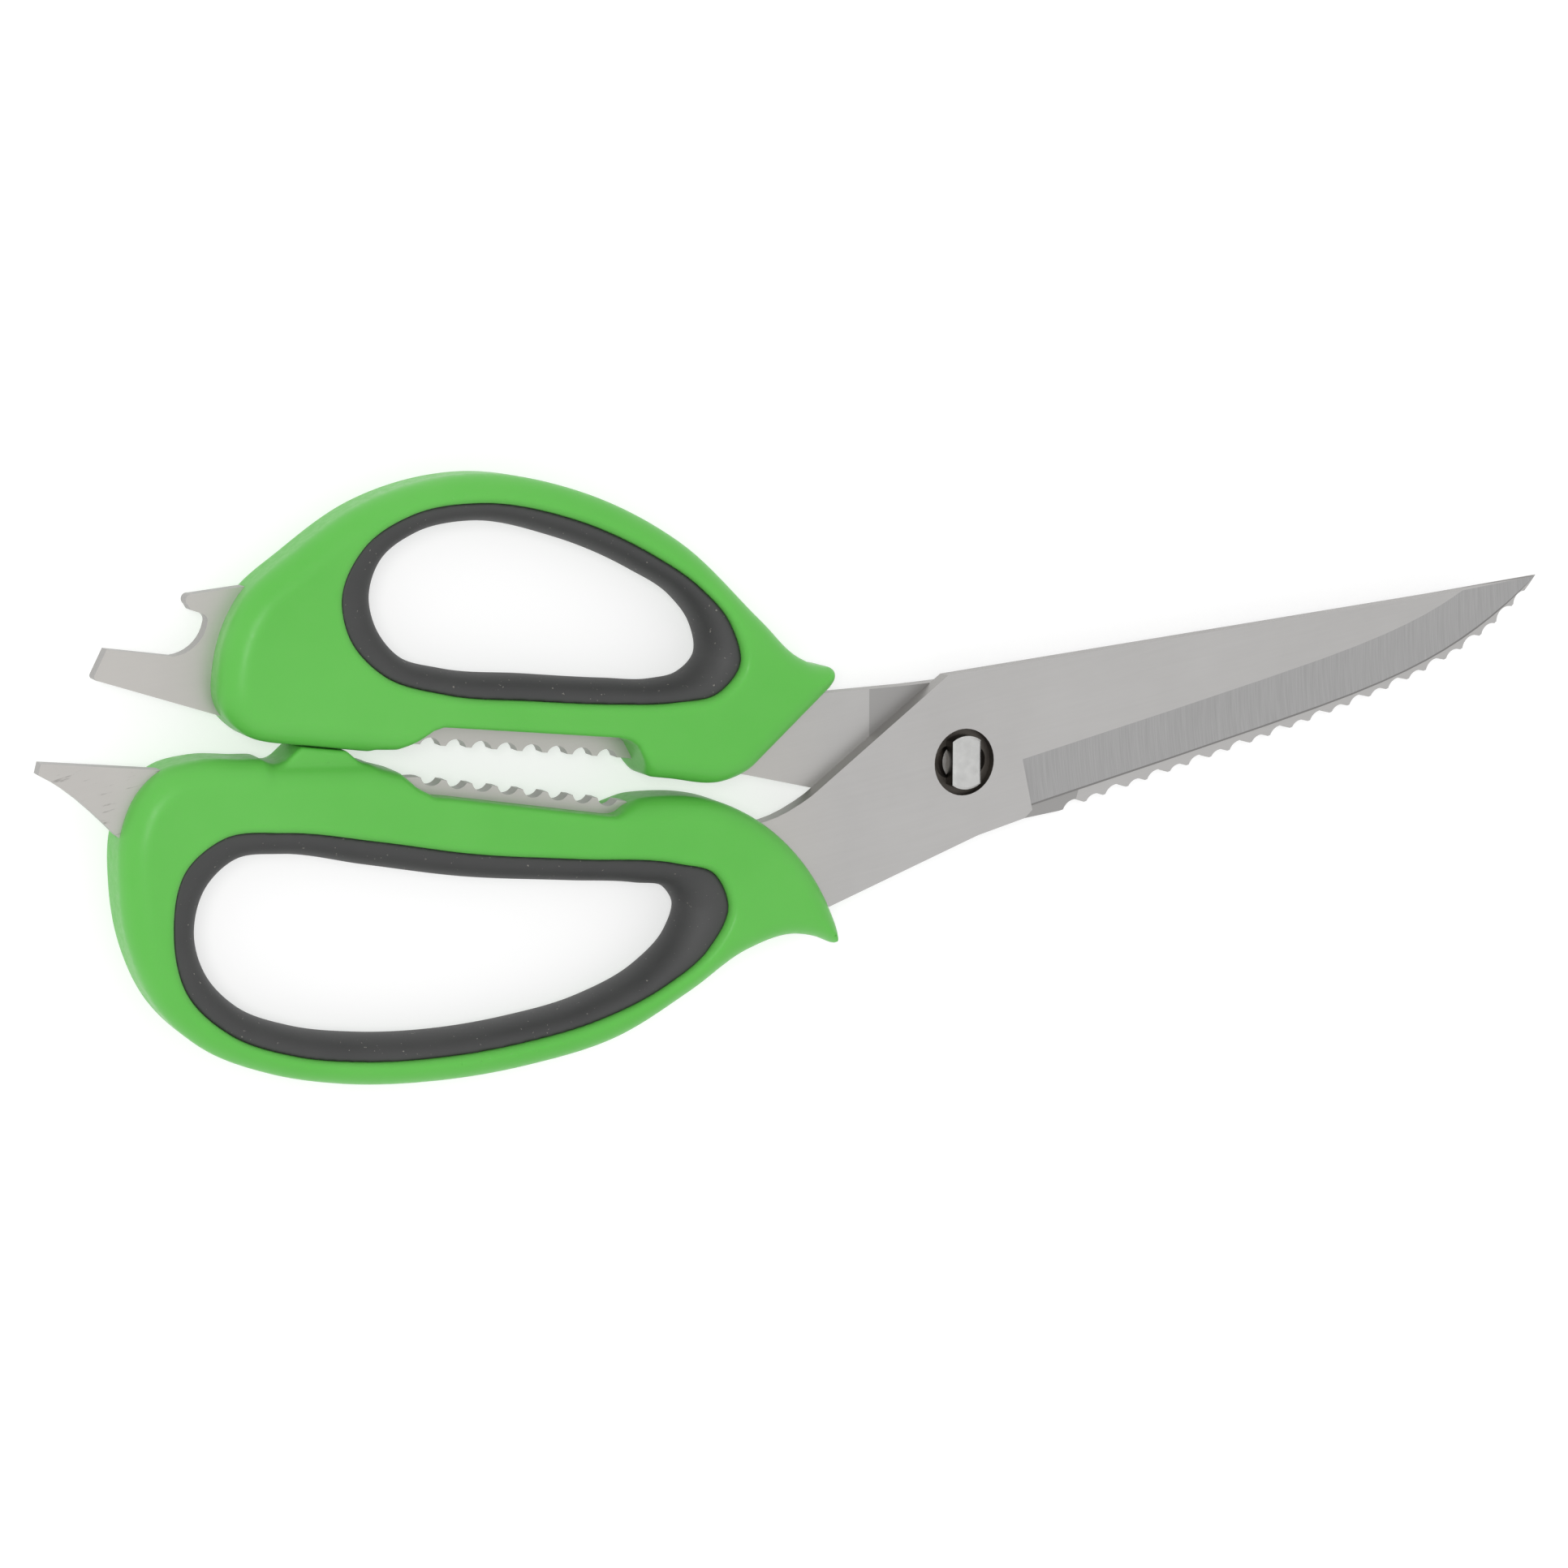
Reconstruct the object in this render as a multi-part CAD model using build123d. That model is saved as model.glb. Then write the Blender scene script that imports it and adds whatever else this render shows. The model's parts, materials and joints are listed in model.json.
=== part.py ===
"""Take-apart poultry shears lying closed on their side.

The shears are drawn in the plane of the blades, with the pivot axis at (0, 0), +X towards the
blade tips, +Y towards the upper handle, and Z = 0 on the plane where the two blades slide on
each other. At the end every part is moved so that the frame's origin is under the middle of
the whole tool, on the surface that the handles lie on.
"""

from build123d import *
import math
import os

# ---- driving dimensions, in millimetres ----
BLADE_THICKNESS = 2.5
HANDLE_HALF = 6.25            # half of the handles' thickness
HANDLE_ROUND = 2.2            # rounding of the handles' outer edges
HOLE_ROUND = 1.2              # roll-over of the handles' edges beside the soft rings
BUMP_HALF = 4.0               # half width of the block that the handles close on
SEAM_HALF = 4.6               # half height of a soft ring where it meets its handle
SEAM_SHARE = 0.92             # part of a soft ring's width that its round side takes up

POST_RADIUS = 3.0             # pivot post
POST_CLEARANCE = 0.05         # running fit of the post in the front blade, radial
HEAD_RADIUS = 4.0             # ends of the locking head
HEAD_WIDTH = 4.7              # across the locking head's flats
HEAD_TOP = 3.6                # top of the locking head above the sliding plane
HEAD_GAP = 0.05               # end float under the locking head
SLOT_WIDTH = 4.95             # release slot in the front blade
SLOT_HALF_LENGTH = 4.2
COUNTERBORE_RADIUS = 5.0
COUNTERBORE_FLOOR = 1.2       # height of the counterbore's floor above the sliding plane
RIVET_RADIUS = 4.2            # peened head of the post behind the back blade
RIVET_DEPTH = 1.0
RIVET_STAND = 0.35            # how far the peened head stands behind the back blade

EDGE_LAND = 0.25              # thickness left at a cutting edge
FRONT_BEVEL_WIDTH = 8.0
BACK_BEVEL_WIDTH = 6.0
HOLLOW_DEPTH = 0.22           # sag of the hollow-ground bevels below a flat grind

TOOTH_PITCH = 3.8             # nutcracker teeth, and half of a pair of scaler scallops
TOOTH_DEPTH = 1.05
TOOTH_GULLET = 1.6            # gullet radius of the nutcracker teeth

WIDE_SCALLOP = (4.2, 0.95)    # chord and depth of the two alternating scaler scallops
NARROW_SCALLOP = (3.45, 0.65)
SCALLOP_LAND = 0.45           # blunt crest left between two scallops

# Where the pivot axis stands in the frame whose origin is under the middle of the tool.
PIVOT_PLACE = (15.775, -2.9, HANDLE_HALF)


# ---- small helpers ----
def plate(outline, low, high):
    """A flat plate between two heights, from a closed run of joined edges."""
    return Pos(0, 0, low) * extrude(make_face(outline), amount=high - low)


def polygon(points):
    return Polyline(*points, close=True)


def heading(start, end):
    """Unit direction from one point to another."""
    direction = (Vector(*end) - Vector(*start)).normalized()
    return (direction.X, direction.Y)


def tooth_row(start, angle, count, outward, low, high):
    """Round gullets for a row of nutcracker teeth; start is on the crest line."""
    gullets = []
    for index in range(count):
        along = TOOTH_PITCH * index
        x = start[0] + along * math.cos(angle) - outward * (TOOTH_GULLET - TOOTH_DEPTH) * math.sin(angle)
        y = start[1] + along * math.sin(angle) + outward * (TOOTH_GULLET - TOOTH_DEPTH) * math.cos(angle)
        gullets.append(Pos(x, y, low) * extrude(Circle(TOOTH_GULLET), amount=high - low))
    return gullets


def scallop_row(path, start, low, high):
    """Round cuts along the scaler edge, a wide and a narrow one in turn."""
    cuts = []
    travelled = start
    index = 0
    while travelled < path.length - NARROW_SCALLOP[0]:
        chord, depth = NARROW_SCALLOP if index % 2 else WIDE_SCALLOP
        open_chord = chord - SCALLOP_LAND
        radius = (open_chord ** 2 / 4 + depth ** 2) / (2 * depth)
        middle = min((travelled + chord / 2) / path.length, 1.0)
        point = path.position_at(middle)
        tangent = path.tangent_at(middle)
        outward = Vector(tangent.Y, -tangent.X)
        centre = point + outward * (radius - depth)
        cuts.append(Pos(centre.X, centre.Y, low) * extrude(Circle(radius), amount=high - low))
        travelled += chord
        index += 1
    return cuts


def bevel_point(share, width):
    """A point of a hollow-ground bevel, at a share of the way from the cutting edge to its back."""
    flat = EDGE_LAND + (BLADE_THICKNESS - EDGE_LAND) * share
    return (width * share, flat - 4 * HOLLOW_DEPTH * share * (1 - share))


def bevel_cutter(edge_path, width, side):
    """What a grinding wheel takes off along a cutting edge; side is +1 above, -1 below."""
    start = edge_path.position_at(0)
    tangent = edge_path.tangent_at(0)
    section_plane = Plane(origin=start, x_dir=Vector(-tangent.Y, tangent.X), z_dir=tangent)
    # The section plane's own y axis points down when its x axis points into the blade.
    flip = side if section_plane.y_dir.Z > 0 else -side
    outer, middle, inner = [bevel_point(share, width) for share in (-0.1, 0.5, 1.1)]
    above = flip * (BLADE_THICKNESS + 2)
    section = ThreePointArc((outer[0], flip * outer[1]), (middle[0], flip * middle[1]), (inner[0], flip * inner[1]))
    section += Polyline((inner[0], flip * inner[1]), (inner[0], above), (-3, above))
    section += Polyline((-3, above), (-3, flip * outer[1]), (outer[0], flip * outer[1]))
    return sweep(section_plane * make_face(section), path=edge_path)


# ---- front blade: its tang runs through the lower handle ----
SPINE_CORNER = (-2.8, 13.1)
SHOULDER_CORNER = (-24.1, -2.5)
FRONT_TIP = (105.6, 22.9)
FRONT_HEEL = (11.7, -8.05)
FRONT_EDGE_POINTS = [FRONT_HEEL, (31.2, -3.7), (54.8, 1.7), (74.1, 6.6), (88.0, 11.6), (98.5, 17.4)]


def front_edge(end=FRONT_TIP):
    return Spline(*FRONT_EDGE_POINTS, end)


def make_front_blade():
    outline = Polyline(FRONT_TIP, SPINE_CORNER, SHOULDER_CORNER)
    # concave neck, then the upper side of the tang inside the handle
    outline += Spline(SHOULDER_CORNER, (-26.6, -4.1), (-30.5, -5.9), (-39.0, -7.0), tangents=((-4, -3.2), (-1, 0)))
    outline += Polyline((-39.0, -7.0), (-52.0, -4.2), (-54.5, -1.9), (-85.6, 3.7), (-100.0, 4.2), (-122.2, 7.2))
    # lid lifter: flat end, concave underside
    outline += Polyline((-122.2, 7.2), (-137.2, 9.0), (-137.6, 7.5))
    outline += Spline((-137.6, 7.5), (-133.7, 4.85), (-130.0, 1.4), (-127.4, -1.4))
    outline += Polyline((-127.4, -1.4), (-123.0, -5.2), (-117.0, -3.2), (-110.0, -0.6), (-90.0, -3.8))
    outline += Polyline((-90.0, -3.8), (-60.0, -8.1), (-43.0, -10.6), (-36.0, -14.5), (-30.0, -19.0))
    outline += Polyline((-30.0, -19.0), (-22.3, -19.9), (2.4, -11.2), (10.4, -9.2), FRONT_HEEL)
    outline += front_edge()
    blade = plate(outline, 0, BLADE_THICKNESS)
    blade -= bevel_cutter(front_edge((112.0, 28.0)), FRONT_BEVEL_WIDTH, 1)
    blade -= tooth_row(NUT_LOWER_START, NUT_LOWER_ANGLE, 8, 1, -1, BLADE_THICKNESS + 1)

    bore_radius = POST_RADIUS + POST_CLEARANCE
    blade -= Pos(0, 0, -1) * extrude(Circle(bore_radius), amount=BLADE_THICKNESS + 2)
    slot_length = 2 * SLOT_HALF_LENGTH
    blade -= Pos(0, 0, -1) * extrude(SlotOverall(slot_length, SLOT_WIDTH), amount=BLADE_THICKNESS + 2)
    blade -= Pos(0, 0, COUNTERBORE_FLOOR) * extrude(Circle(COUNTERBORE_RADIUS), amount=BLADE_THICKNESS)
    return blade


# ---- back blade: its tang runs through the upper handle ----
BACK_TIP = (106.05, 23.1)
BACK_HEEL = (9.0, 13.4)
SCALER_POINTS = [(17.9, -9.0), (36.1, -4.6), (54.7, -0.1), (73.7, 5.0), (88.4, 10.2), (98.6, 15.9), BACK_TIP]
NUT_LOWER_START = (-83.5, 3.35)
NUT_LOWER_ANGLE = math.radians(-10.2)
NUT_UPPER_START = (-82.65, 7.6)
NUT_UPPER_ANGLE = math.radians(-7.2)


def back_edge(end=BACK_TIP):
    return Line(BACK_HEEL, end)


def make_back_blade():
    scaler = Spline(*SCALER_POINTS)
    outline = Line(BACK_TIP, BACK_HEEL)
    outline += Spline(BACK_HEEL, (0.5, 12.2), (-6.7, 11.7), (-21.1, 11.3), (-36.0, 10.4))
    outline += Polyline((-36.0, 10.4), (-60.0, 11.0), (-80.0, 13.2), (-92.0, 15.6), (-98.6, 21.5), (-101.0, 31.0))
    # bottle opener: hook, round throat and long prong
    outline += Polyline((-101.0, 31.0), (-108.7, 30.7), (-115.6, 30.0))
    outline += ThreePointArc((-115.6, 30.0), (-116.5, 29.5), (-116.3, 28.6))
    outline += Polyline((-116.3, 28.6), (-115.9, 27.9), (-114.3, 27.3))
    outline += ThreePointArc((-114.3, 27.3), (-113.75, 26.8), (-113.7, 26.1))
    outline += ThreePointArc((-113.7, 26.1), (-115.2, 23.3), (-118.5, 21.8))
    outline += Line((-118.5, 21.8), (-127.4, 23.2))
    outline += Line((-127.4, 23.2), (-129.1, 19.9))
    outline += ThreePointArc((-129.1, 19.9), (-129.15, 19.4), (-128.7, 19.1))
    outline += Polyline((-128.7, 19.1), (-112.4, 13.5), (-100.0, 9.9), (-86.5, 9.2), (-85.0, 7.9))
    outline += Polyline((-85.0, 7.9), (-53.0, 3.8), (-44.0, 2.0), (-34.5, 0.1), (-23.3, -2.7))
    outline += Spline((-23.3, -2.7), (-8.0, -8.0), (3.0, -9.9), (11.8, -9.7), tangents=((10, -3.4), (6, 0.7)))
    outline += Line((11.8, -9.7), SCALER_POINTS[0])
    outline += scaler
    blade = plate(outline, -BLADE_THICKNESS, 0)
    low = -BLADE_THICKNESS - 1
    blade -= bevel_cutter(reversed_back_edge(), BACK_BEVEL_WIDTH, -1)
    blade -= tooth_row(NUT_UPPER_START, NUT_UPPER_ANGLE, 8, -1, low, 1)
    blade -= scallop_row(scaler, 0.4, low, 1)
    blade -= Pos(0, 0, low) * extrude(Circle(POST_RADIUS), amount=BLADE_THICKNESS + 2)
    seat = Pos(0, 0, -BLADE_THICKNESS) * extrude(Circle(RIVET_RADIUS), amount=RIVET_DEPTH - RIVET_STAND)
    return blade - seat


def reversed_back_edge():
    """The back blade's edge from beyond the tip to the heel, so that the blade is on its left."""
    direction = (Vector(*BACK_TIP) - Vector(*BACK_HEEL)).normalized()
    beyond = Vector(*BACK_TIP) + direction * 8
    return Line((beyond.X, beyond.Y), BACK_HEEL)


# ---- pivot stud: round post, locking head with two flats, peened end ----
def make_pivot_stud():
    post_low = -BLADE_THICKNESS + RIVET_DEPTH - RIVET_STAND
    head_low = COUNTERBORE_FLOOR + HEAD_GAP
    post = Pos(0, 0, post_low) * extrude(Circle(POST_RADIUS), amount=head_low - post_low)
    head_outline = Circle(HEAD_RADIUS) & Rectangle(HEAD_WIDTH, 2 * HEAD_RADIUS + 1)
    head = Pos(0, 0, head_low) * extrude(head_outline, amount=HEAD_TOP - head_low)
    head = chamfer(head.faces().sort_by(Axis.Z)[-1].edges(), 0.35)
    rivet = Pos(0, 0, -BLADE_THICKNESS - RIVET_STAND) * extrude(Circle(RIVET_RADIUS), amount=RIVET_DEPTH)
    rivet = fillet(rivet.faces().sort_by(Axis.Z)[0].edges(), 0.3)
    return post + head + rivet


# ---- finger loops: the opening, and the seam where its soft ring meets the handle ----
UPPER_OPENING = [
    (-77.0, 38.4), (-84.8, 37.0), (-89.8, 33.5), (-91.4, 28.9), (-90.5, 24.4), (-87.3, 20.3), (-81.0, 18.2),
    (-69.0, 16.8), (-56.8, 15.5), (-49.0, 15.0), (-44.8, 15.8), (-42.4, 18.2), (-42.9, 22.3), (-45.8, 26.3),
    (-52.6, 30.7), (-64.4, 35.8),
]
UPPER_SEAM = [
    (-77.0, 41.1), (-86.2, 39.9), (-93.1, 35.9), (-96.6, 29.2), (-95.6, 23.5), (-91.0, 18.3), (-82.0, 15.1),
    (-69.4, 13.5), (-57.0, 12.3), (-47.5, 12.0), (-41.0, 13.0), (-37.7, 16.7), (-39.1, 22.7), (-43.8, 28.1),
    (-51.2, 33.1), (-63.5, 38.6),
]
LOWER_OPENING = [
    (-105.0, -5.8), (-111.0, -6.0), (-115.2, -9.5), (-117.0, -15.6), (-115.6, -21.3), (-111.0, -26.6),
    (-103.5, -30.0), (-94.0, -31.9), (-82.7, -32.6), (-71.5, -31.9), (-60.4, -29.9), (-51.6, -26.0),
    (-47.2, -21.6), (-46.1, -17.6), (-47.6, -15.3), (-52.6, -14.1), (-63.0, -12.9), (-79.0, -11.0),
    (-93.0, -8.2),
]
LOWER_SEAM = [
    (-105.3, -2.2), (-113.6, -2.3), (-118.7, -5.9), (-120.9, -15.0), (-119.3, -23.0), (-113.5, -29.2),
    (-104.6, -33.1), (-94.4, -35.0), (-82.7, -35.5), (-71.2, -34.7), (-59.6, -32.6), (-49.7, -28.8),
    (-42.8, -24.0), (-39.6, -18.0), (-41.8, -13.0), (-47.4, -11.1), (-62.6, -9.2), (-78.4, -7.2),
    (-92.3, -4.4),
]


def between(opening, seam, share):
    """The closed curve that lies the given share of the way from an opening out to its seam."""
    points = [(x + (u - x) * share, y + (v - y) * share) for (x, y), (u, v) in zip(opening, seam)]
    return Spline(*points, periodic=True)


def make_grip(opening, seam):
    """A soft ring with a half-round inner side, from the handle to the opening."""
    ring = plate(Spline(*seam, periodic=True), -SEAM_HALF, SEAM_HALF)
    # The cutter stands a little proud of the ring's two flat faces.
    cutter_half = SEAM_HALF + 0.1
    sections = []
    for degrees in (-90, -67, -45, -22, 0, 22, 45, 67, 90):
        turn = math.radians(degrees)
        share = (1 - math.cos(turn)) * SEAM_SHARE
        sections.append(Pos(0, 0, cutter_half * math.sin(turn)) * make_face(between(opening, seam, share)))
    return ring - loft(sections)


def rim_edges(handle, known=()):
    """Edges on a handle's two flat faces that aren't among the known ones."""
    edges = handle.edges().filter_by(lambda edge: abs(abs(edge.center().Z) - HANDLE_HALF) < 0.01)
    return [edge for edge in edges if all((edge.center() - point).length > 0.01 for point in known)]


def make_handle(outline, seam, notch, blade):
    """A handle moulded around its tang, with a hole for the soft ring and a nutcracker notch."""
    handle = plate(outline, -HANDLE_HALF, HANDLE_HALF)
    handle = fillet(rim_edges(handle), HANDLE_ROUND)
    outer_rims = [edge.center() for edge in handle.edges()]
    handle -= plate(Spline(*seam, periodic=True), -HANDLE_HALF - 1, HANDLE_HALF + 1)
    handle = fillet(rim_edges(handle, outer_rims), HOLE_ROUND)
    handle -= plate(polygon(notch), -HANDLE_HALF - 1, HANDLE_HALF + 1)
    return handle - blade


# ---- upper handle ----
UPPER_BEAK = (-21.6, 14.6)
UPPER_BACK = [
    (-33.5, 22.7), (-46.3, 34.6), (-61.5, 42.2), (-77.0, 45.0), (-92.8, 41.2), (-102.3, 35.0),
    (-109.2, 29.3), (-112.7, 21.5), (-112.8, 14.6), (-108.6, 10.4),
]
UPPER_LOBE = [(-39.5, 0.0), (-34.4, 1.9), (-27.5, 8.2)]
UPPER_NOTCH = [(-90.0, 7.6), (-84.4, 10.7), (-55.4, 7.4), (-53.4, 5.8), (-52.4, 3.0), (-50.0, -4.0), (-90.0, 1.0)]


def upper_outline():
    """Round back from the beak to the tail, straight belly, then a shallow lobe up to the beak."""
    tail, belly_end = (-103.0, 9.3), (-47.8, 0.9)
    belly = heading(tail, belly_end)
    outline = Spline(UPPER_BEAK, *UPPER_BACK, tail, tangents=(heading((0, 0), (-4, 1)), belly))
    outline += Line(tail, belly_end)
    outline += Spline(belly_end, *UPPER_LOBE, UPPER_BEAK, tangents=(belly, heading((0, 0), (1, 1))))
    return outline


# ---- lower handle ----
LOWER_BEAK = (-21.0, -26.2)
LOWER_THROAT = [(-22.9, -19.5), (-27.4, -12.2), (-33.8, -6.3), (-41.0, -2.6)]
LOWER_BACK = [
    (-98.0, 6.7), (-108.0, 7.7), (-116.0, 8.2), (-121.5, 7.1), (-124.6, 4.3), (-127.0, -1.0), (-127.5, -8.4),
    (-126.3, -17.1), (-122.9, -25.0), (-116.8, -31.2), (-107.7, -35.6), (-97.7, -38.1), (-84.0, -39.2),
    (-70.0, -38.4), (-56.7, -35.8), (-45.0, -30.3), (-36.0, -25.1), (-28.7, -23.3),
]
LOWER_NOTCH = [(-90.6, 6.6), (-84.0, 1.25), (-57.4, -3.45), (-56.2, -3.2), (-53.6, -1.4), (-51.6, 2.0), (-60.0, 8.0)]


def lower_outline():
    """Throat from the beak up to the straight top, then round the tail and back under the loop."""
    top_start, top_end = (-50.0, -1.3), (-88.0, 4.8)
    top = heading(top_start, top_end)
    outline = Spline(LOWER_BEAK, *LOWER_THROAT, top_start, tangents=((0, 1), top))
    outline += Line(top_start, top_end)
    outline += Spline(top_end, *LOWER_BACK, LOWER_BEAK, tangents=(top, heading((0, 0), (5, -2))))
    return outline


def make_stop_bump():
    """The block that the upper handle closes on."""
    return plate(polygon([(-105.6, 6.4), (-102.3, 9.1), (-95.9, 8.14), (-93.3, 5.8)]), -BUMP_HALF, BUMP_HALF)


def main():
    front_blade = make_front_blade()
    back_blade = make_back_blade()
    lower_handle = make_handle(lower_outline(), LOWER_SEAM, LOWER_NOTCH, front_blade)
    lower_handle += make_stop_bump() - front_blade
    parts = {
        "front_blade": front_blade,
        "back_blade": back_blade,
        "pivot_stud": make_pivot_stud(),
        "lower_handle": lower_handle,
        "upper_handle": make_handle(upper_outline(), UPPER_SEAM, UPPER_NOTCH, back_blade),
        "lower_grip": make_grip(LOWER_OPENING, LOWER_SEAM),
        "upper_grip": make_grip(UPPER_OPENING, UPPER_SEAM),
    }
    os.makedirs("parts", exist_ok=True)
    for name, shape in parts.items():
        placed = Pos(*PIVOT_PLACE) * shape
        print(name, len(placed.solids()), placed.is_valid, placed.bounding_box())
        export_step(placed, f"parts/{name}.step")


main()
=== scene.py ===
"""Look of the poultry shears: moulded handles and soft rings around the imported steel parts.

Shapes are drawn in millimetres from the pivot axis, as the CAD part is: +X towards the blade tips,
+Y towards the handle with the bottle opener, z = 0 on the plane where the two blades slide.
"""

import json
import math

import bpy
import numpy as np
from mathutils import Matrix, Vector


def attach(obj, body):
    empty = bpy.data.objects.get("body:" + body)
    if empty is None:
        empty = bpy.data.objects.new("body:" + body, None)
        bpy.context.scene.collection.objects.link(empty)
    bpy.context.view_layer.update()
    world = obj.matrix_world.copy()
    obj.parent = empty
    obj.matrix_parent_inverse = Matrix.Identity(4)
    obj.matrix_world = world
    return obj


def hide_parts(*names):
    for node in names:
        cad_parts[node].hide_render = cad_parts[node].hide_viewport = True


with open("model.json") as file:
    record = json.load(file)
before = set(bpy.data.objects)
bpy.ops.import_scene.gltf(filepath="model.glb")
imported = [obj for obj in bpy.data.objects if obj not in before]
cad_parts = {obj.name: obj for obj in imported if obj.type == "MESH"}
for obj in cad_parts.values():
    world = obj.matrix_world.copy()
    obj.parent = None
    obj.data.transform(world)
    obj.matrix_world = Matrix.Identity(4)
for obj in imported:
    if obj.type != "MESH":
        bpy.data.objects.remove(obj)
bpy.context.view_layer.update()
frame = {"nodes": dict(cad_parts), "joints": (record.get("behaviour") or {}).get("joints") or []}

MM = 0.001
PIVOT = Vector(frame["joints"][0]["pos_m"])

# ---- driving sizes, in millimetres ----
HANDLE_HALF = 6.25        # half of the handles' thickness
SHOULDER = 3.8            # rounding of the handles' outer edges
HOLE_ROLL = 1.3           # roll-over of the green edge beside a soft ring
NOTCH_ROLL = 1.1          # rounding of the nutcracker notch
SEAM_HALF = 4.9           # half height of a soft ring where it meets the handle
SEAM_SHARE = 0.92         # part of a soft ring's width that its round side takes up
BUMP_HALF = 4.0           # half height, in z, of the block that the handles close on
BUMP_ROUND = 0.5          # rounding of that block's edges
BUMP_FILLET = 0.6         # fillet where that block grows out of the handle
MESH_STEP = 0.34          # grid of the handles' meshes
RING_STEP = 0.3           # grid of the soft rings' meshes
RING_INSET = 0.02         # gap between a soft ring and the green around it
THINNEST_RING = 0.5       # least width of a soft ring that its field allows for
SCUFFED_TO = -118.0       # end of the scuffs on the lid lifter, along the blade
WORN_FROM = -14.6         # start of the rubbed patch on the back blade, along the blade
WORN_RADIUS = 22.0        # reach of the rubbed patch about the pivot
BORE_RADIUS = 5.03        # just outside the counterbore's wall
BORE_TOP = 2.4            # just below the front blade's face
EDGE_SHADOW_HEIGHT = 0.31       # how far the painted shadow line at the cutting edge reaches from the sliding plane, in z
OFF_THE_BLADE = 500.0     # a place past either end, for a mark that a blade doesn't have


# ---- outlines ----
def smooth(points, start=None, end=None, steps=10):
    """Points on a cubic curve through the given ones; start and end are its end directions."""
    points = np.array(points, float)
    chords = np.linalg.norm(np.diff(points, axis=0), axis=1)
    slopes = np.diff(points, axis=0) / chords[:, None]
    tangents = np.empty_like(points)
    weight = chords[:-1, None] + chords[1:, None]
    tangents[1:-1] = (slopes[:-1] * chords[1:, None] + slopes[1:] * chords[:-1, None]) / weight
    tangents[0] = slopes[0] if start is None else np.array(start) / np.hypot(*start)
    tangents[-1] = slopes[-1] if end is None else np.array(end) / np.hypot(*end)
    t = np.linspace(0, 1, steps, endpoint=False)[:, None]
    run = []
    for i, chord in enumerate(chords):
        run.append(
            (2 * t**3 - 3 * t**2 + 1) * points[i] + (t**3 - 2 * t**2 + t) * chord * tangents[i]
            + (3 * t**2 - 2 * t**3) * points[i + 1] + (t**3 - t**2) * chord * tangents[i + 1]
        )
    return np.vstack(run + [points[-1:]])


def smooth_loop(points, steps=10):
    """Points on a closed cubic curve through the given ones."""
    count = len(points)
    run = smooth(list(points) * 3, steps=steps)
    return run[count * steps:2 * count * steps]


def signed_distance(x, y, outline):
    """Distance to a closed outline, negative inside it."""
    nearest = np.full(x.shape, np.inf)
    inside = np.zeros(x.shape, bool)
    for (ax, ay), (bx, by) in zip(outline, np.roll(outline, -1, axis=0)):
        ex, ey = bx - ax, by - ay
        length = ex * ex + ey * ey
        if length < 1e-12:
            continue
        along = np.clip(((x - ax) * ex + (y - ay) * ey) / length, 0, 1)
        nearest = np.minimum(nearest, (x - ax - along * ex) ** 2 + (y - ay - along * ey) ** 2)
        if ay != by:
            crosses = (ay > y) != (by > y)
            inside ^= crosses & (x < ax + (y - ay) * ex / ey)
    return np.where(inside, -1, 1) * np.sqrt(nearest)


def plan_distance(x, y, outline):
    """Distance to an outline seen from above, for the grid of a field."""
    flat_x, flat_y = np.broadcast_arrays(x[:, :, 0], y[:, :, 0])
    return signed_distance(flat_x, flat_y, outline)[:, :, None]


def rounded_meet(a, b, radius):
    """The overlap of two fields, with a round edge where they meet."""
    corner = np.hypot(np.maximum(a + radius, 0), np.maximum(b + radius, 0))
    return np.minimum(np.maximum(a, b), -radius) + corner


def rounded_join(a, b, radius):
    """The sum of two fields, with a round fillet where they meet."""
    return -rounded_meet(-a, -b, radius)


# ---- meshes from fields ----
def sample(values, low, step, points):
    """Field values between the grid's points."""
    place = (points - low) / step
    cell = np.clip(np.floor(place).astype(int), 0, np.array(values.shape) - 2)
    part = place - cell
    total = 0
    for corner in np.ndindex(2, 2, 2):
        share = np.prod(np.where(corner, part, 1 - part), axis=1)
        at = cell + corner
        total = total + share * values[at[:, 0], at[:, 1], at[:, 2]]
    return total


def settle(values, low, step, points, rounds=4):
    """Moves points onto the surface where the field is zero."""
    reach = 0.5 * step
    for _ in range(rounds):
        here = sample(values, low, step, points)
        slope = np.stack([
            sample(values, low, step, points + reach * axis)
            - sample(values, low, step, points - reach * axis)
            for axis in np.eye(3)
        ], axis=1) / (2 * reach)
        size = np.maximum((slope ** 2).sum(axis=1), 0.05)
        points = points - np.clip(here / size, -step, step)[:, None] * slope
    return points


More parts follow.
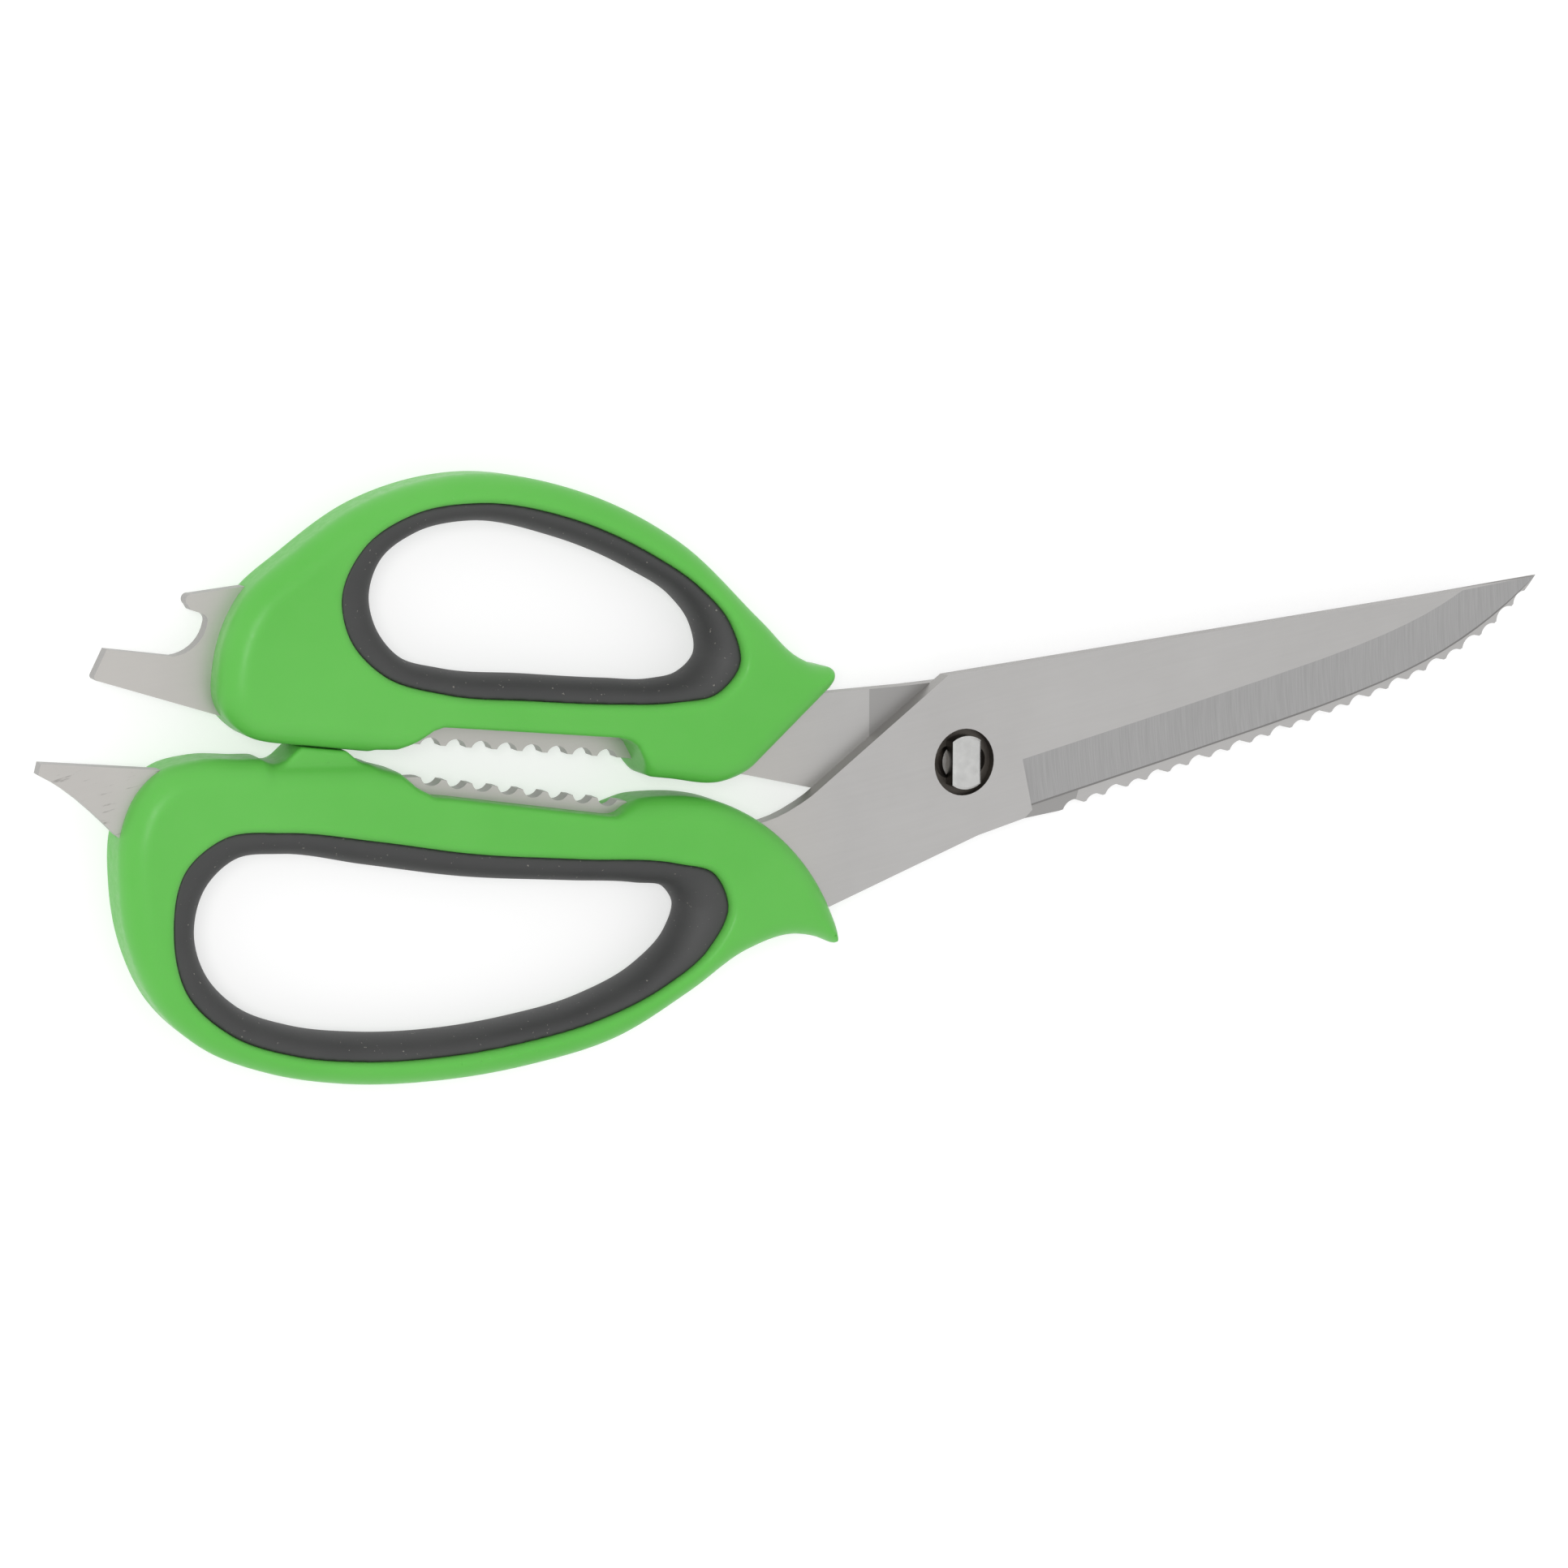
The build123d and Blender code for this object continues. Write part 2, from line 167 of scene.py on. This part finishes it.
def surface_mesh(name, field, low, high, step=MESH_STEP):
    """A closed mesh on the zero surface of field(x, y, z), one point per grid cell that it crosses."""
    low = np.array(low, float)
    counts = np.ceil((np.array(high) - low) / step).astype(int) + 1
    axes = [low[i] + step * np.arange(counts[i]) for i in range(3)]
    values = field(axes[0][:, None, None], axes[1][None, :, None], axes[2][None, None, :])
    filled = values < 0
    cells = np.zeros(counts - 1, int)
    for corner in np.ndindex(2, 2, 2):
        window = tuple(slice(c, n - 1 + c) for c, n in zip(corner, counts))
        cells += filled[window]
    crossed = (cells > 0) & (cells < 8)
    number = np.full(crossed.shape, -1)
    number[crossed] = np.arange(crossed.sum())
    points = low + step * (np.argwhere(crossed) + 0.5)
    points = settle(values, low, step, points)
    faces = []
    for axis in range(3):
        others = [(axis + 1) % 3, (axis + 2) % 3]
        ends = [slice(None)] * 3
        starts = [slice(None)] * 3
        ends[axis] = slice(1, None)
        starts[axis] = slice(None, -1)
        before, after = filled[tuple(starts)], filled[tuple(ends)]
        for leaving in (True, False):
            at = np.argwhere((before & ~after) if leaving else (~before & after))
            u, v = np.eye(3, dtype=int)[others[0]], np.eye(3, dtype=int)[others[1]]
            around = [at - u - v, at - v, at, at - u]
            quad = np.stack([number[tuple(corner.T)] for corner in around], axis=1)
            faces.append(quad if leaving else quad[:, ::-1])
    mesh = bpy.data.meshes.new(name)
    placed = points * MM + np.array(PIVOT)
    mesh.from_pydata(placed.tolist(), [], np.vstack(faces).tolist())
    mesh.shade_smooth()
    piece = bpy.data.objects.new(name, mesh)
    bpy.context.scene.collection.objects.link(piece)
    return piece


# ---- finger loops: the opening, and the seam where its soft ring meets the handle ----
UPPER_OPENING = [
    (-77.0, 38.4), (-84.8, 37.0), (-89.8, 33.5), (-91.4, 28.9), (-90.5, 24.4), (-87.3, 20.3), (-81.0, 18.2),
    (-69.0, 16.8), (-56.8, 15.5), (-49.0, 15.0), (-44.8, 15.8), (-42.4, 18.2), (-42.9, 22.3), (-45.8, 26.3),
    (-52.6, 30.7), (-64.4, 35.8),
]
UPPER_SEAM = [
    (-77.0, 41.1), (-86.2, 39.9), (-93.1, 35.9), (-96.6, 29.2), (-95.6, 23.5), (-91.0, 18.3), (-82.0, 15.1),
    (-69.4, 13.5), (-57.0, 12.3), (-47.5, 12.0), (-41.0, 13.0), (-37.7, 16.7), (-39.1, 22.7), (-43.8, 28.1),
    (-51.2, 33.1), (-63.5, 38.6),
]
LOWER_OPENING = [
    (-105.0, -5.8), (-111.0, -6.0), (-115.2, -9.5), (-117.0, -15.6), (-115.6, -21.3), (-111.0, -26.6),
    (-103.5, -30.0), (-94.0, -31.9), (-82.7, -32.6), (-71.5, -31.9), (-60.4, -29.9), (-51.6, -26.0),
    (-47.2, -21.6), (-46.1, -17.6), (-47.6, -15.3), (-52.6, -14.1), (-63.0, -12.9), (-79.0, -11.0),
    (-93.0, -8.2),
]
LOWER_SEAM = [
    (-105.3, -2.2), (-113.6, -2.3), (-118.7, -5.9), (-120.9, -15.0), (-119.3, -23.0), (-113.5, -29.2),
    (-104.6, -33.1), (-94.4, -35.0), (-82.7, -35.5), (-71.2, -34.7), (-59.6, -32.6), (-49.7, -28.8),
    (-42.8, -24.0), (-39.6, -18.0), (-41.8, -13.0), (-47.4, -11.1), (-62.6, -9.2), (-78.4, -7.2),
    (-92.3, -4.4),
]


# ---- handle outlines ----
UPPER_OUTLINE = np.vstack([
    smooth([(-23.0, 15.6), (-25.3, 16.1), (-27.6, 17.2), (-33.5, 22.7), (-46.3, 34.6), (-61.5, 42.2),
            (-77.0, 45.0), (-92.9, 41.4), (-102.6, 35.2), (-109.5, 29.5), (-113.0, 21.5),
            (-113.1, 14.9), (-109.8, 11.1), (-103.5, 9.4)], start=(-1, 0.15), end=(6, -1)),
    smooth([(-47.8, 0.9), (-39.5, 0.0), (-34.9, 2.0)], start=(6, -1), end=(1, 0.85)),
    smooth([(-22.9, 12.4), (-21.9, 14.0), (-22.0, 15.0), (-23.0, 15.6)], start=(0.8, 1), end=(-1, 0.15)),
])
UPPER_NOTCH = np.array([
    (-96.0, 3.0), (-91.7, 7.6), (-88.8, 7.6), (-86.5, 8.7), (-84.0, 10.3), (-82.5, 10.7), (-56.5, 7.6),
    (-54.9, 7.1), (-53.8, 6.3), (-52.7, 4.2), (-52.0, 2.4), (-50.0, -6.0),
])
LOWER_OUTLINE = np.vstack([
    smooth([(-21.2, -24.6), (-22.9, -19.5), (-27.4, -12.2), (-33.8, -6.3), (-41.0, -2.7), (-51.0, -1.5)],
           start=(-0.1, 1), end=(-8, -0.1)),
    [(-54.5, -1.6), (-56.0, -0.8), (-88.0, 5.2), (-92.6, 6.3), (-106.3, 7.0), (-107.6, 7.7)],
    smooth([(-109.2, 7.8), (-116.0, 8.2), (-121.5, 7.0), (-124.6, 4.3), (-127.0, -1.0), (-127.5, -8.4),
            (-126.3, -17.1), (-122.9, -25.0), (-116.8, -31.2), (-107.7, -35.6), (-97.7, -38.1),
            (-84.0, -39.2), (-70.0, -38.4), (-56.7, -35.8), (-45.0, -30.1), (-36.0, -24.9),
            (-28.7, -23.3), (-24.1, -24.3), (-22.2, -25.2)], start=(-1, 0), end=(2, -0.8)),
    [(-21.5, -25.3)],
])
LOWER_NOTCH = np.array([
    (-96.0, 9.0), (-91.1, 5.7), (-88.3, 4.7), (-86.5, 2.7), (-84.0, 1.2), (-81.8, 0.9), (-58.6, -3.3),
    (-57.2, -3.45), (-56.2, -3.2), (-54.9, -2.3), (-53.6, -1.4), (-51.0, 0.6), (-50.0, 12.0),
])
STOP_BUMP = np.array([(-106.4, 5.6), (-102.3, 9.1), (-95.9, 8.14), (-92.4, 4.9)])


def handle_field(outline, seam_points, notch):
    """Field of a handle: a slab with round shoulders, less its finger hole and its notch."""
    seam = smooth_loop(seam_points)

    def field(x, y, z):
        body = rounded_meet(plan_distance(x, y, outline), np.abs(z) - HANDLE_HALF, SHOULDER)
        body = rounded_meet(body, -plan_distance(x, y, seam), HOLE_ROLL)
        return rounded_meet(body, -plan_distance(x, y, notch), NOTCH_ROLL)

    return field


def lower_handle_field(x, y, z):
    """The lower handle carries the block that the upper one closes on."""
    handle = handle_field(LOWER_OUTLINE, LOWER_SEAM, LOWER_NOTCH)(x, y, z)
    block = rounded_meet(plan_distance(x, y, STOP_BUMP), np.abs(z) - BUMP_HALF, BUMP_ROUND)
    return rounded_join(handle, block, BUMP_FILLET)


def ring_field(opening_points, seam_points):
    """Field of a soft ring: half an ellipse between the handle's seam and the opening."""
    opening, seam = smooth_loop(opening_points), smooth_loop(seam_points)

    def field(x, y, z):
        inner = plan_distance(x, y, opening)
        outer = plan_distance(x, y, seam)
        width = np.maximum(inner - outer, THINNEST_RING)
        depth = (-outer / width) / SEAM_SHARE
        lip = 1 / SEAM_SHARE - 1
        bulge = np.hypot(np.maximum(depth - lip, 0), z / SEAM_HALF)
        round_side = (bulge - 1) * np.minimum(width, SEAM_HALF)
        return np.maximum(round_side, outer + RING_INSET)

    return field


upper_handle = surface_mesh(
    "upper_handle_shell",
    handle_field(UPPER_OUTLINE, UPPER_SEAM, UPPER_NOTCH),
    low=(-114.6, -1.6, -7.2),
    high=(-19.6, 46.4, 7.2),
)
lower_handle = surface_mesh(
    "lower_handle_shell",
    lower_handle_field,
    low=(-128.8, -40.5, -7.2),
    high=(-19.6, 10.2, 7.2),
)
upper_grip = surface_mesh(
    "upper_soft_ring",
    ring_field(UPPER_OPENING, UPPER_SEAM),
    low=(-97.6, 10.6, -5.6),
    high=(-37.0, 42.4, 5.6),
    step=RING_STEP,
)
lower_grip = surface_mesh(
    "lower_soft_ring",
    ring_field(LOWER_OPENING, LOWER_SEAM),
    low=(-122.2, -36.8, -5.6),
    high=(-39.4, -0.4, 5.6),
    step=RING_STEP,
)


# ---- materials ----
def new_material(name):
    material = bpy.data.materials.new(name)
    material.use_nodes = True
    nodes = material.node_tree.nodes
    shader = nodes["Principled BSDF"]
    return material, nodes, material.node_tree.links, shader


def noise(nodes, links, coordinates, scale, detail=4.0, roughness=0.6):
    texture = nodes.new("ShaderNodeTexNoise")
    texture.inputs["Scale"].default_value = scale
    texture.inputs["Detail"].default_value = detail
    texture.inputs["Roughness"].default_value = roughness
    links.new(coordinates, texture.inputs["Vector"])
    return texture.outputs["Fac"]


def ramp(nodes, links, value, stops):
    """Colours against a value between 0 and 1; stops are (place, grey or colour)."""
    node = nodes.new("ShaderNodeValToRGB")
    elements = node.color_ramp.elements
    while len(elements) < len(stops):
        elements.new(0.5)
    for element, (place, colour) in zip(elements, stops):
        element.position = place
        rgb = colour if isinstance(colour, tuple) else (colour,) * 3
        element.color = (*rgb, 1.0)
    links.new(value, node.inputs["Fac"])
    return node.outputs["Color"]


def stretched(nodes, links, scale, turn=0.0):
    """Object coordinates, turned about z and then stretched."""
    coordinates = nodes.new("ShaderNodeTexCoord").outputs["Object"]
    mapping = nodes.new("ShaderNodeMapping")
    mapping.vector_type = "TEXTURE"
    mapping.inputs["Rotation"].default_value = (0.0, 0.0, turn)
    mapping.inputs["Scale"].default_value = scale
    links.new(coordinates, mapping.inputs["Vector"])
    return mapping.outputs["Vector"]


def bump(nodes, links, shader, height, distance, strength=1.0):
    node = nodes.new("ShaderNodeBump")
    node.inputs["Strength"].default_value = strength
    node.inputs["Distance"].default_value = distance
    links.new(height, node.inputs["Height"])
    links.new(node.outputs["Normal"], shader.inputs["Normal"])


def handle_material():
    material, nodes, links, shader = new_material("moulded_green_plastic")
    here = nodes.new("ShaderNodeTexCoord").outputs["Object"]
    clouds = noise(nodes, links, here, 28.0, 3.0)
    links.new(ramp(nodes, links, clouds, [(0.3, (0.108, 0.455, 0.070)), (0.7, (0.130, 0.490, 0.087))]),
              shader.inputs["Base Color"])
    scuffs = noise(nodes, links, here, 900.0, 6.0, 0.7)
    links.new(ramp(nodes, links, scuffs, [(0.35, 0.30), (0.7, 0.44)]), shader.inputs["Roughness"])
    shader.inputs["Subsurface Weight"].default_value = 0.25
    shader.inputs["Subsurface Radius"].default_value = (0.6, 1.5, 0.5)
    shader.inputs["Subsurface Scale"].default_value = 0.0016
    shader.inputs["Specular IOR Level"].default_value = 0.22
    bump(nodes, links, shader, noise(nodes, links, here, 1400.0, 3.0), 0.00001, 0.35)
    return material


def grip_material():
    material, nodes, links, shader = new_material("soft_ring_rubber")
    here = nodes.new("ShaderNodeTexCoord").outputs["Object"]
    clouds = noise(nodes, links, here, 60.0, 4.0)
    base = ramp(nodes, links, clouds, [(0.3, (0.036, 0.036, 0.037)), (0.7, (0.052, 0.052, 0.052))])
    lint = noise(nodes, links, here, 1900.0, 2.0, 0.5)
    specks = ramp(nodes, links, lint, [(0.71, 0.0), (0.76, 1.0)])
    links.new(blend(nodes, links, specks, base, (0.20, 0.19, 0.17)), shader.inputs["Base Color"])
    links.new(ramp(nodes, links, clouds, [(0.3, 0.52), (0.7, 0.66)]), shader.inputs["Roughness"])
    bump(nodes, links, shader, noise(nodes, links, here, 1100.0, 5.0), 0.00003, 0.5)
    return material


def math_node(nodes, links, operation, *values):
    node = nodes.new("ShaderNodeMath")
    node.operation = operation
    for socket, value in zip(node.inputs, values):
        if isinstance(value, (int, float)):
            socket.default_value = value
        else:
            links.new(value, socket)
    return node.outputs[0]


def blend(nodes, links, share, first, second):
    """A mix of two colours; the share and both colours may be plain values or sockets."""
    mix = nodes.new("ShaderNodeMix")
    mix.data_type = "RGBA"
    if isinstance(share, float):
        mix.inputs["Factor"].default_value = share
    else:
        links.new(share, mix.inputs["Factor"])
    for name, colour in (("A", first), ("B", second)):
        if isinstance(colour, tuple):
            mix.inputs[name].default_value = (*colour, 1.0)
        else:
            links.new(colour, mix.inputs[name])
    return mix.outputs["Result"]


def place_on_blade(nodes, links):
    """Place along the blades, height over the sliding plane, distance from the pivot axis, in mm."""
    coordinates = nodes.new("ShaderNodeTexCoord").outputs["Object"]
    mapping = nodes.new("ShaderNodeMapping")
    mapping.vector_type = "TEXTURE"
    mapping.inputs["Location"].default_value = PIVOT
    mapping.inputs["Scale"].default_value = (MM, MM, MM)
    links.new(coordinates, mapping.inputs["Vector"])
    parts = nodes.new("ShaderNodeSeparateXYZ")
    links.new(mapping.outputs["Vector"], parts.inputs["Vector"])
    squares = [math_node(nodes, links, "POWER", parts.outputs[axis], 2.0) for axis in ("X", "Y")]
    radius = math_node(nodes, links, "SQRT", math_node(nodes, links, "ADD", *squares))
    return parts.outputs["X"], parts.outputs["Z"], radius


def steepness(nodes, links):
    """How far a face leans from the blade's flats, 0 on a flat and 1 on a wall."""
    normal = nodes.new("ShaderNodeTexCoord").outputs["Normal"]
    parts = nodes.new("ShaderNodeSeparateXYZ")
    links.new(normal, parts.inputs["Vector"])
    flatness = math_node(nodes, links, "ABSOLUTE", parts.outputs["Z"])
    return math_node(nodes, links, "SUBTRACT", 1.0, flatness)


def lines(nodes, links, stretch, degrees, detail, roughness=0.6):
    """Noise drawn out into lines; stretch is its grain in metres, before the turn about z."""
    across = stretched(nodes, links, stretch, math.radians(degrees))
    return noise(nodes, links, across, 1.0, detail, roughness)


def satin_face(nodes, links, patches, along):
    """Flats of a blade: cloudy steel with faint rolling lines, warmer towards the tail."""
    rolled = lines(nodes, links, (0.012, 0.0005, 0.004), 10, 4.0)
    flat = ramp(nodes, links, patches, [(0.3, (0.495, 0.486, 0.478)), (0.72, (0.560, 0.551, 0.543))])
    grain = ramp(nodes, links, rolled, [(0.3, (0.512, 0.503, 0.495)), (0.7, (0.542, 0.533, 0.525))])
    face = blend(nodes, links, 0.5, flat, grain)
    tailward = math_node(nodes, links, "MULTIPLY", along, -0.01)
    warmth = ramp(nodes, links, tailward, [(0.20, 0.0), (0.36, 0.5)])
    return blend(nodes, links, warmth, face, (0.580, 0.552, 0.515))


def scuff(nodes, links, face, along, scuffed_to):
    """Dark scratches on the tail's face."""
    scratches = lines(nodes, links, (0.0045, 0.0006, 0.003), 12, 5.0, 0.7)
    depth = ramp(nodes, links, scratches, [(0.60, 0.0), (0.72, 0.6)])
    on_tail = math_node(nodes, links, "LESS_THAN", along, scuffed_to)
    scratched = math_node(nodes, links, "MULTIPLY", depth, on_tail)
    return blend(nodes, links, scratched, face, (0.17, 0.16, 0.15))


def rub(nodes, links, face, along, radius, worn_from):
    """Dull patch that the other blade leaves beside the pivot."""
    ahead = math_node(nodes, links, "GREATER_THAN", along, worn_from)
    near = math_node(nodes, links, "LESS_THAN", radius, WORN_RADIUS)
    rubbed = math_node(nodes, links, "MULTIPLY", ahead, near)
    return blend(nodes, links, rubbed, face, (0.385, 0.378, 0.372))


def ground_bevel(nodes, links, ground, height):
    """Bevel with grinding marks, painted darker as shade, and a painted shadow line along the cutting edge.
    """
    # partly painted shade: the bevel is painted darker than the flats for the shade it lies in; its
    # grinding marks are the steel's own
    bevel = ramp(nodes, links, ground, [(0.32, (0.385, 0.381, 0.380)), (0.68, (0.455, 0.451, 0.450))])
    from_plane = math_node(nodes, links, "ABSOLUTE", height)
    # painted shadow: a thin dark line along the cutting edge, close to the sliding plane
    edge_shadow = math_node(nodes, links, "LESS_THAN", from_plane, EDGE_SHADOW_HEIGHT)
    return blend(nodes, links, edge_shadow, bevel, (0.25, 0.245, 0.24))


def steel_material(name, marks, worn_from, scuffed_to):
    """Satin blade steel: cloudy flats; bevels ground across the edge, painted darker as shade; painted
    shade on the walls and in the pivot's bore.

    The grinding marks stand at marks degrees. Near the pivot the face is rubbed dull by the other blade
    from worn_from millimetres on along the blade, and the tail is scuffed up to scuffed_to.
    """
    material, nodes, links, shader = new_material(name)
    here = nodes.new("ShaderNodeTexCoord").outputs["Object"]
    along, height, radius = place_on_blade(nodes, links)
    lean = steepness(nodes, links)
    patches = noise(nodes, links, here, 55.0, 5.0)
    ground = lines(nodes, links, (0.00016, 0.009, 0.009), marks, 3.0)
    face = satin_face(nodes, links, patches, along)
    face = scuff(nodes, links, face, along, scuffed_to)
    face = rub(nodes, links, face, along, radius, worn_from)
    bevel = ground_bevel(nodes, links, ground, height)
    on_bevel = ramp(nodes, links, lean, [(0.008, 0.0), (0.014, 1.0)])
    # painted shade: steep walls of the blades are painted darker, as they face away from the light
    wall_shade = ramp(nodes, links, lean, [(0.45, 0.0), (0.60, 1.0)])
    # painted shade: the counterbore, inside its wall and below the front blade's face, is painted dark as
    # it lies in shade
    in_bore = math_node(nodes, links, "LESS_THAN", radius, BORE_RADIUS)
    below_face = math_node(nodes, links, "LESS_THAN", height, BORE_TOP)
    bore_shade = math_node(nodes, links, "MULTIPLY", in_bore, below_face)
    colour = blend(nodes, links, on_bevel, face, bevel)
    colour = blend(nodes, links, wall_shade, colour, (0.36, 0.35, 0.34))
    colour = blend(nodes, links, bore_shade, colour, (0.100, 0.090, 0.080))
    links.new(colour, shader.inputs["Base Color"])
    links.new(ramp(nodes, links, patches, [(0.3, 0.38), (0.75, 0.47)]), shader.inputs["Roughness"])
    shader.inputs["Metallic"].default_value = 0.9
    bump(nodes, links, shader, ground, 0.000004, 0.4)
    return material


def stud_material():
    """Turned and lightly worn stud, with painted shade on its walls."""
    material, nodes, links, shader = new_material("turned_stud_steel")
    here = nodes.new("ShaderNodeTexCoord").outputs["Object"]
    lean = steepness(nodes, links)
    patches = noise(nodes, links, here, 420.0, 4.0)
    bright = ramp(nodes, links, patches, [(0.3, (0.56, 0.56, 0.55)), (0.7, (0.70, 0.70, 0.69))])
    # painted shade: the stud's steep walls are painted dark, as they lie in shade
    wall = ramp(nodes, links, lean, [(0.55, 0.0), (0.9, 1.0)])
    links.new(blend(nodes, links, wall, bright, (0.12, 0.11, 0.10)), shader.inputs["Base Color"])
    links.new(ramp(nodes, links, patches, [(0.3, 0.25), (0.7, 0.40)]), shader.inputs["Roughness"])
    shader.inputs["Metallic"].default_value = 1.0
    bump(nodes, links, shader, patches, 0.00001, 0.4)
    return material


plastic = handle_material()
rubber = grip_material()
front_steel = steel_material("front_blade_steel", 16.0, worn_from=OFF_THE_BLADE, scuffed_to=SCUFFED_TO)
back_steel = steel_material("back_blade_steel", 6.0, worn_from=WORN_FROM, scuffed_to=-OFF_THE_BLADE)
stud_steel = stud_material()


def dress(piece, material):
    piece.data.materials.clear()
    piece.data.materials.append(material)


for piece, node, body, material, slot in (
    (upper_handle, "upper_handle", "back_half", plastic, "handle_plastic"),
    (lower_handle, "lower_handle", "front_half", plastic, "handle_plastic"),
    (upper_grip, "upper_grip", "back_half", rubber, "grip_rubber"),
    (lower_grip, "lower_grip", "front_half", rubber, "grip_rubber"),
):
    dress(piece, material)
    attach(piece, body)
    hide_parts(node)

for node, material in (
    ("front_blade", front_steel),
    ("back_blade", back_steel),
    ("pivot_stud", stud_steel),
):
    for slot in frame["nodes"][node].material_slots:
        slot.material = material


# ---- floor, light and camera ----
def area_light(name, place, target, size, power):
    light = bpy.data.lights.new(name, "AREA")
    light.shape = "DISK"
    light.size = size
    light.energy = power
    lamp = bpy.data.objects.new(name, light)
    lamp.location = place
    lamp.rotation_euler = (Vector(target) - Vector(place)).to_track_quat("-Z", "Y").to_euler()
    bpy.context.scene.collection.objects.link(lamp)


def make_floor(reach=4.0, drop=0.0002):
    """A pale floor just under the shears, which also glows a little to stay white."""
    floor_mesh = bpy.data.meshes.new("floor")
    corners = [(-reach, -reach, 0), (reach, -reach, 0), (reach, reach, 0), (-reach, reach, 0)]
    floor_mesh.from_pydata(corners, [], [(0, 1, 2, 3)])
    floor = bpy.data.objects.new("floor", floor_mesh)
    floor.location.z = -drop
    bpy.context.scene.collection.objects.link(floor)
    material, nodes, links, shader = new_material("pale_floor")
    here = nodes.new("ShaderNodeTexCoord").outputs["Object"]
    links.new(ramp(nodes, links, noise(nodes, links, here, 3.0, 2.0), [(0.3, 0.50), (0.7, 0.53)]),
              shader.inputs["Base Color"])
    shader.inputs["Roughness"].default_value = 0.9
    shader.inputs["Emission Color"].default_value = (1.0, 1.0, 1.0, 1.0)
    shader.inputs["Emission Strength"].default_value = 0.55
    dress(floor, material)


make_floor()
area_light("left_key", (-0.50, 0.20, 1.00), (0, 0, 0), 0.32, 3.6)

world = bpy.data.worlds.new("studio")
world.use_nodes = True
world.node_tree.nodes["Background"].inputs["Color"].default_value = (1.0, 1.0, 1.0, 1.0)
world.node_tree.nodes["Background"].inputs["Strength"].default_value = 0.85
bpy.context.scene.world = world

CAMERA_PLACE = PIVOT + Vector((-239.40, 76.79, 436.63)) * MM
CAMERA_TARGET = PIVOT + Vector((-29.67, -1.20, 2.5)) * MM
CAMERA_LENS = 77.64       # on a sensor 36 mm wide


def make_camera():
    """Looks at the target with +Y of the shears upright in the picture."""
    back = (CAMERA_PLACE - CAMERA_TARGET).normalized()
    right = Vector((0, 1, 0)).cross(back).normalized()
    up = back.cross(right)
    data = bpy.data.cameras.new("camera")
    data.lens = CAMERA_LENS
    data.sensor_width = 36.0
    data.clip_start = 0.01
    camera = bpy.data.objects.new("camera", data)
    turn = Matrix((right, up, back)).transposed().to_4x4()
    camera.matrix_world = Matrix.Translation(CAMERA_PLACE) @ turn
    bpy.context.scene.collection.objects.link(camera)
    bpy.context.scene.camera = camera


make_camera()
bpy.context.scene.view_settings.view_transform = "Standard"
